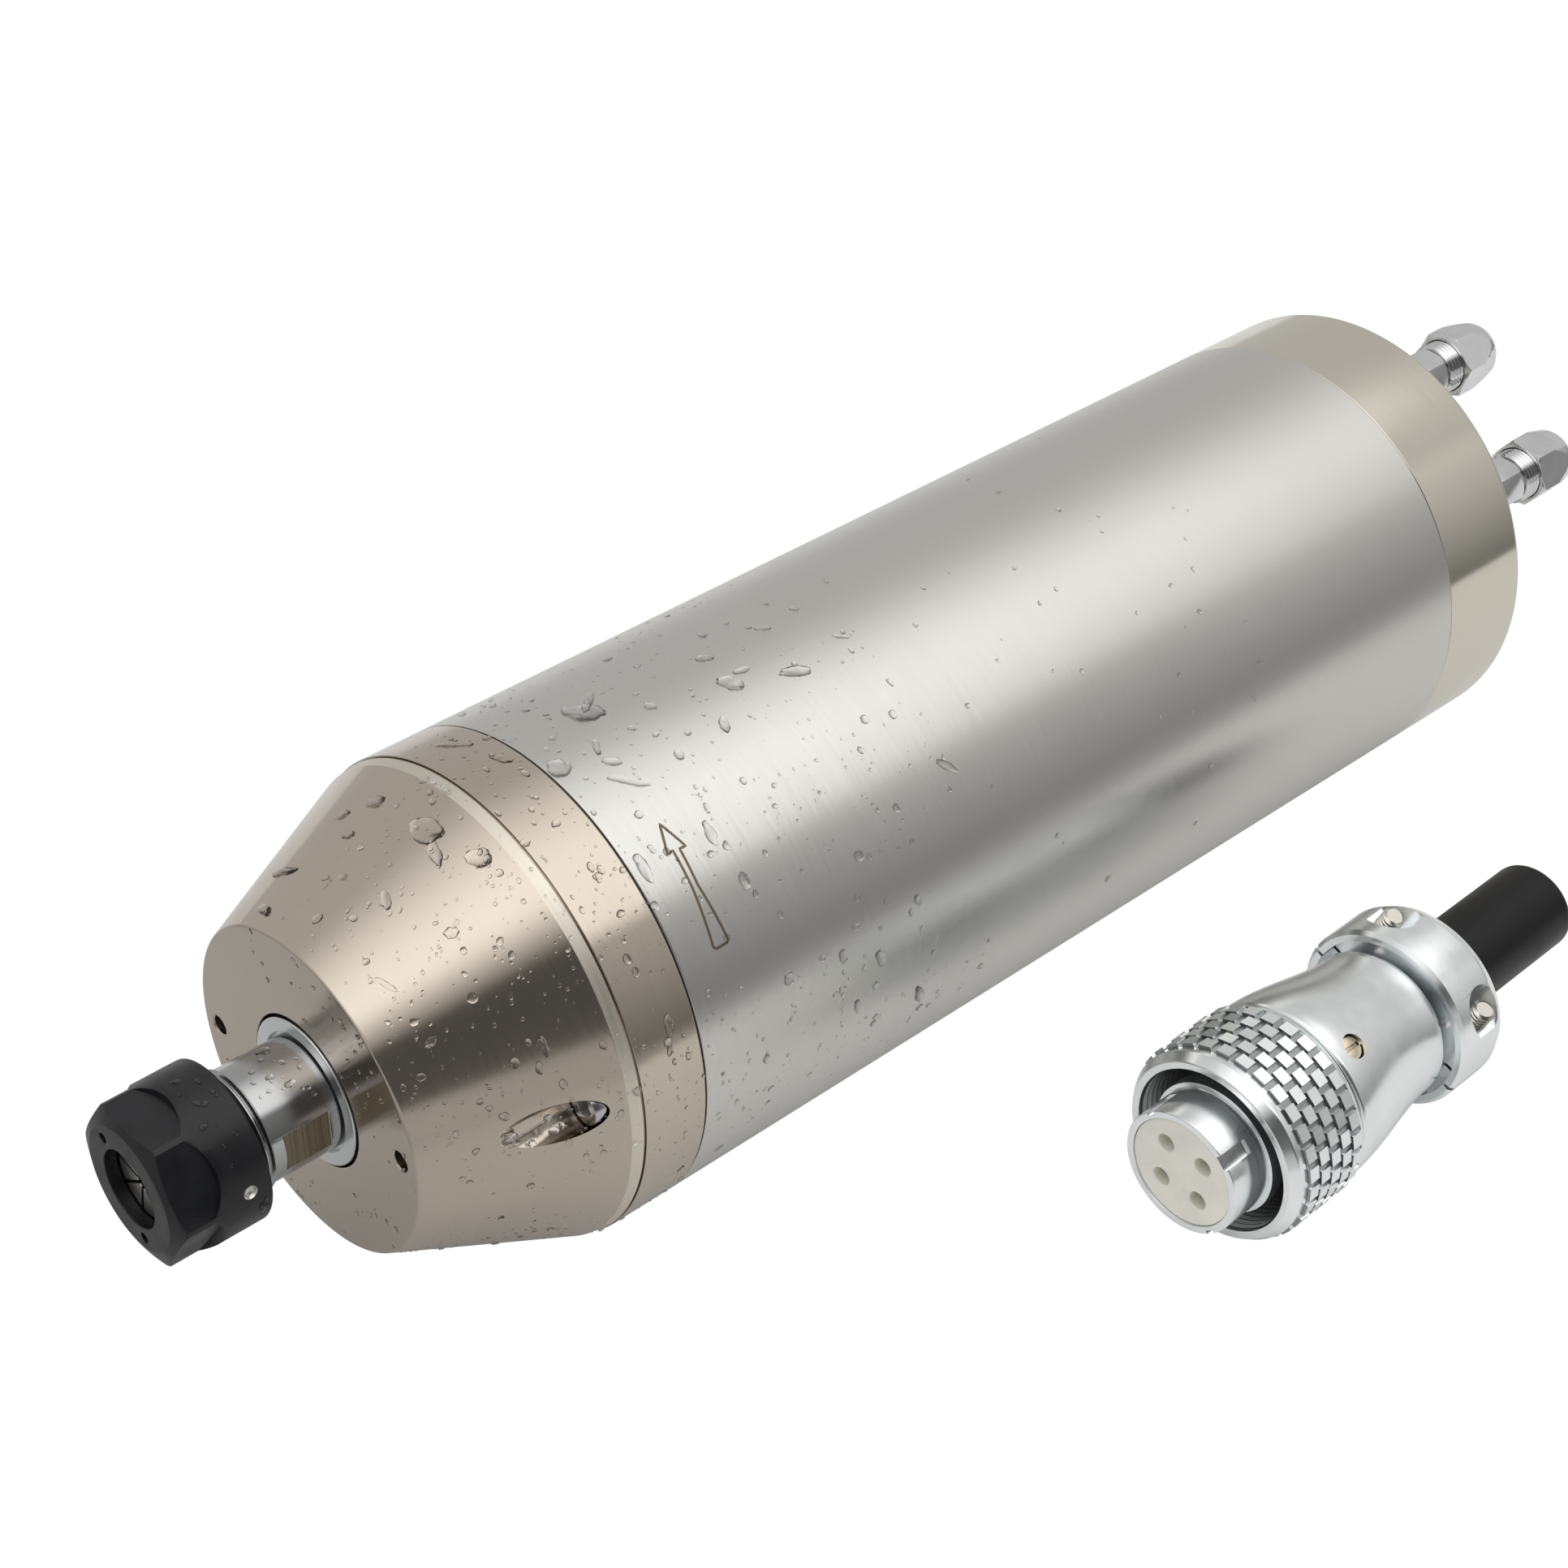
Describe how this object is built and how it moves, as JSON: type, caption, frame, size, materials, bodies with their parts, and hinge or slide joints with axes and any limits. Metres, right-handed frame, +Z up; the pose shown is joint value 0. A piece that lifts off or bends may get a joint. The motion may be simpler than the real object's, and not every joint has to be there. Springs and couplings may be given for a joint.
{
  "type": "water-cooled motor spindle",
  "caption": "Water-cooled electric motor spindle with a stainless tubular body, conical nose, collet chuck nut, rear hose fittings and its loose round power plug.",
  "frame": {"origin": "on the spindle axis in the plane of the flat nose face, at the centre of the two face spanner holes", "axes": "+X along the axis from the nose to the rear face, +Z up as it lies, +Y away from the loose plug"},
  "size_m": [0.3685, 0.1744, 0.1],
  "materials": {
    "nose_steel": "satin",
    "tube_steel": "brushed",
    "cap_steel": "satin",
    "ground_steel": "ground",
    "zinc_ring": "satin",
    "black_oxide": "satin",
    "fitting_chrome": "polished",
    "plug_nickel": "satin",
    "brass": "satin",
    "copper": "enamelled",
    "ivory": "matt",
    "cage": "matt",
    "rubber": "matt",
    "aluminium": "machined",
    "lamination": "stacked sheet",
    "bearing_steel": "polished",
    "screw_steel": "satin"
  },
  "bodies": {
    "spindle": {"nose_cone": "nose_steel", "nose_cone_screws": "screw_steel", "front_bearing_housing": "nose_steel", "front_joint_seal": "rubber", "outer_tube": "tube_steel", "water_jacket": "aluminium", "jacket_o_rings": "rubber", "stator_core": "lamination", "stator_windings": "copper", "front_bearing_outer_rings": "bearing_steel", "rear_bearing_outer_rings": "bearing_steel", "rear_bearing_housing": "aluminium", "preload_spring": "bearing_steel", "preload_plate": "screw_steel", "rear_cap": "cap_steel", "rear_cap_screws": "black_oxide", "water_fittings": "fitting_chrome", "socket_shell": "plug_nickel", "socket_screws": "screw_steel", "socket_insert": "ivory", "socket_pins": "brass"},
    "rotor": {"rotor_shaft": "ground_steel", "dust_ring": "zinc_ring", "rotor_core": "lamination", "rotor_end_rings": "aluminium", "front_bearing_inner_rings": "bearing_steel", "rear_bearing_inner_rings": "bearing_steel", "rear_lock_nut": "black_oxide"},
    "front_cages": {"front_bearing_balls": "bearing_steel", "front_bearing_cages": "cage"},
    "rear_cages": {"rear_bearing_balls": "bearing_steel", "rear_bearing_cages": "cage"},
    "collet": {"collet": "ground_steel"},
    "collet_nut": {"collet_nut": "black_oxide"},
    "ferrule_upper": {"fitting_ferrule_upper": "brass"},
    "ferrule_lower": {"fitting_ferrule_lower": "brass"},
    "fitting_nut_upper": {"fitting_nut_upper": "fitting_chrome"},
    "fitting_nut_lower": {"fitting_nut_lower": "fitting_chrome"},
    "plug": {"plug_sleeve": "plug_nickel", "plug_insert": "ivory", "plug_contacts": "brass", "plug_shell": "plug_nickel", "plug_set_screw": "brass", "plug_clamp_base": "plug_nickel", "plug_clamp_saddle": "plug_nickel", "plug_clamp_screws": "screw_steel", "plug_boot": "rubber"},
    "plug_ring": {"plug_coupling_nut": "plug_nickel"}
  },
  "joints": [
    {"name": "spindle_spin", "type": "hinge", "parent": "spindle", "child": "rotor", "pos_m": [0, 0, 0], "axis": [1, 0, 0], "continuous": true},
    {"name": "front_cage_roll", "type": "hinge", "parent": "spindle", "child": "front_cages", "pos_m": [0, 0, 0], "axis": [1, 0, 0], "continuous": true},
    {"name": "rear_cage_roll", "type": "hinge", "parent": "spindle", "child": "rear_cages", "pos_m": [0, 0, 0], "axis": [1, 0, 0], "continuous": true},
    {"name": "collet_draw", "type": "slide", "parent": "rotor", "child": "collet", "axis": [-1, 0, 0], "range_m": [0, 0.009]},
    {"name": "collet_nut_turn", "type": "hinge", "parent": "collet", "child": "collet_nut", "pos_m": [-0.03, 0, 0], "axis": [-1, 0, 0], "range_deg": [0, 2161]},
    {"name": "ferrule_upper_draw", "type": "slide", "parent": "spindle", "child": "ferrule_upper", "axis": [1, 0, 0], "range_m": [0, 0.006]},
    {"name": "fitting_nut_upper_turn", "type": "hinge", "parent": "ferrule_upper", "child": "fitting_nut_upper", "pos_m": [0.32, -0.00788, 0.03615], "axis": [1, 0, 0], "range_deg": [0, 2161]},
    {"name": "ferrule_lower_draw", "type": "slide", "parent": "spindle", "child": "ferrule_lower", "axis": [1, 0, 0], "range_m": [0, 0.006]},
    {"name": "fitting_nut_lower_turn", "type": "hinge", "parent": "ferrule_lower", "child": "fitting_nut_lower", "pos_m": [0.32, -0.03227, 0.01811], "axis": [1, 0, 0], "range_deg": [0, 2161]},
    {"name": "plug_lift", "type": "slide", "parent": "spindle", "child": "plug", "axis": [0, 0, 1], "range_m": [0, 0.1]},
    {"name": "plug_ring_turn", "type": "hinge", "parent": "plug", "child": "plug_ring", "pos_m": [0.14609, -0.1028, -0.0287], "axis": [0.9994, 0.0349, 0], "continuous": true}
  ],
  "couplings": [
    {"joint": "front_cage_roll", "follows": "spindle_spin", "ratio": 0.4153},
    {"joint": "rear_cage_roll", "follows": "spindle_spin", "ratio": 0.4111},
    {"joint": "collet_nut_turn", "follows": "collet_draw", "rad_per_m": 4188.8},
    {"joint": "fitting_nut_upper_turn", "follows": "ferrule_upper_draw", "rad_per_m": 6283.2},
    {"joint": "fitting_nut_lower_turn", "follows": "ferrule_lower_draw", "rad_per_m": 6283.2}
  ]
}
